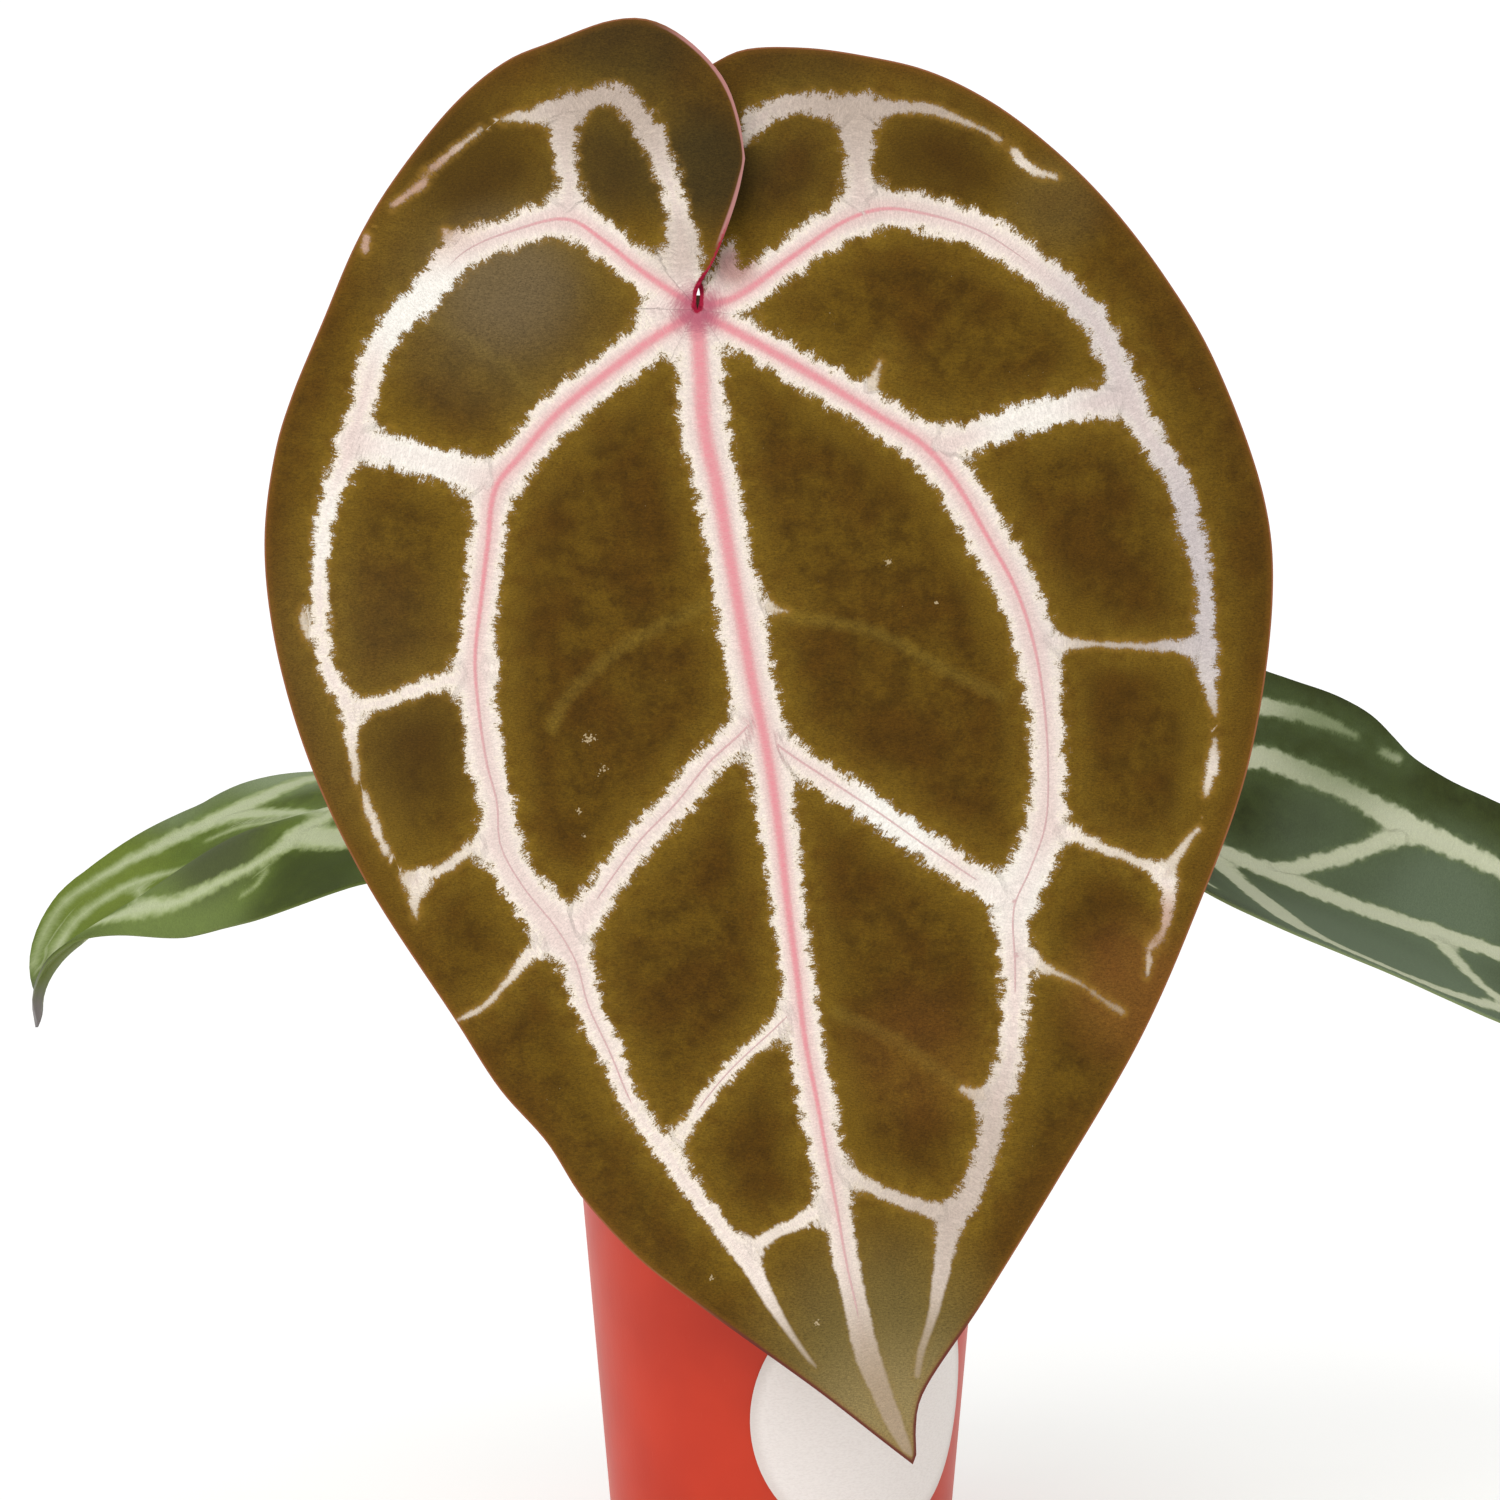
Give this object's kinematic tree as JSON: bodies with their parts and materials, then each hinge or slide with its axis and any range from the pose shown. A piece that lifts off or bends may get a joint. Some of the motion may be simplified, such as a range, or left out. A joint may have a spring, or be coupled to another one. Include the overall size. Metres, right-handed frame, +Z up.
{
  "type": "potted anthurium hybrid",
  "caption": "Potted aroid with one large velvety heart-shaped leaf hanging in front, two older side leaves, and a round plastic pot filled with bark mix.",
  "frame": {"origin": "centre of the pot's underside, on the surface that the pot stands on", "axes": "+Z up along the pot's axis, the front leaf faces -Y, +X to the viewer's right"},
  "size_m": [0.3512, 0.1358, 0.3019],
  "materials": {
    "pot_plastic": "satin",
    "label_paper": "satin",
    "bark_mix": "matte",
    "root": "matte",
    "stem": "matte",
    "petiole_bronze": "satin",
    "petiole_green": "satin",
    "bract": "matte",
    "leaf_velvet_brown": "matte",
    "leaf_green": "satin"
  },
  "bodies": {
    "root": {"pot": "pot_plastic", "label": "label_paper", "potting_mix": "bark_mix", "roots": "root", "stem": "stem", "petiole_front": "petiole_bronze", "petiole_left": "petiole_green", "petiole_right": "petiole_green", "bract_front": "bract", "bract_left": "bract", "bract_right": "bract", "blade_front": "leaf_velvet_brown", "blade_left": "leaf_green", "blade_right": "leaf_green"}
  },
  "joints": []
}
